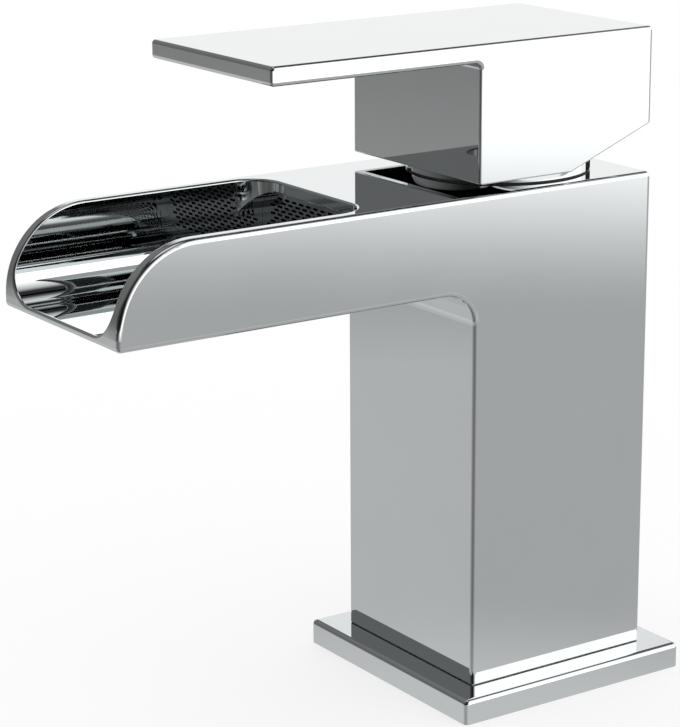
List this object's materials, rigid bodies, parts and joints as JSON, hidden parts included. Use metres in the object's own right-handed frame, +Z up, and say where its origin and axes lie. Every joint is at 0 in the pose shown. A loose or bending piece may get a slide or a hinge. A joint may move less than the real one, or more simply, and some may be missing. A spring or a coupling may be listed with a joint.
{
  "type": "waterfall basin faucet",
  "caption": "Square single-lever basin mixer with an open waterfall trough spout, perforated screen behind it and a lifting, turning lever on a ceramic disc cartridge.",
  "frame": {"origin": "on the deck, centre of the base plate's underside on the column's axis", "axes": "+Z up along the column, -Y towards the spout and lever, +X to the right for someone facing the spout's front from behind the basin"},
  "size_m": [0.057, 0.132, 0.1382],
  "materials": {
    "chrome": "polished chrome plate",
    "screen_steel": "etched stainless sheet",
    "brass": "bare turned brass",
    "steel": "bright steel",
    "housing_plastic": "moulded acetal",
    "dark_plastic": "glass-filled nylon",
    "seal_rubber": "black rubber",
    "ceramic": "lapped alumina",
    "index_plastic": "glossy marker, red and blue halves"
  },
  "bodies": {
    "faucet_body": {"body_casting": "chrome", "spout_screen": "screen_steel", "base_plate": "chrome", "base_seal": "seal_rubber", "inlet_block": "brass", "block_seal": "seal_rubber", "trim_cap": "chrome", "cap_seal": "seal_rubber", "cartridge_nut": "brass", "cartridge_housing": "housing_plastic", "cartridge_base": "dark_plastic", "inlet_seals": "seal_rubber", "disc_seals": "seal_rubber", "fixed_disc": "ceramic"},
    "cartridge_rotor": {"rotor": "housing_plastic", "rotor_seal": "seal_rubber", "pivot_pin": "steel", "limit_ring": "dark_plastic"},
    "lever": {"stem": "brass", "handle": "chrome", "grub_screw": "steel", "index_plug": "index_plastic"},
    "disc_slider": {"disc_carrier": "dark_plastic", "moving_disc": "ceramic"}
  },
  "joints": [
    {"name": "mix_turn", "type": "hinge", "parent": "faucet_body", "child": "cartridge_rotor", "pos_m": [0, 0, 0.1115], "axis": [0, 0, 1], "range_deg": [-45, 45]},
    {"name": "flow_lift", "type": "hinge", "parent": "cartridge_rotor", "child": "lever", "pos_m": [0, 0, 0.1115], "axis": [-1, 0, 0], "range_deg": [0, 21]},
    {"name": "disc_travel", "type": "slide", "parent": "cartridge_rotor", "child": "disc_slider", "axis": [0, -1, 0], "range_m": [0, 0.00449]}
  ],
  "couplings": [
    {"joint": "disc_travel", "follows": "flow_lift", "m_per_rad": 0.012231}
  ]
}
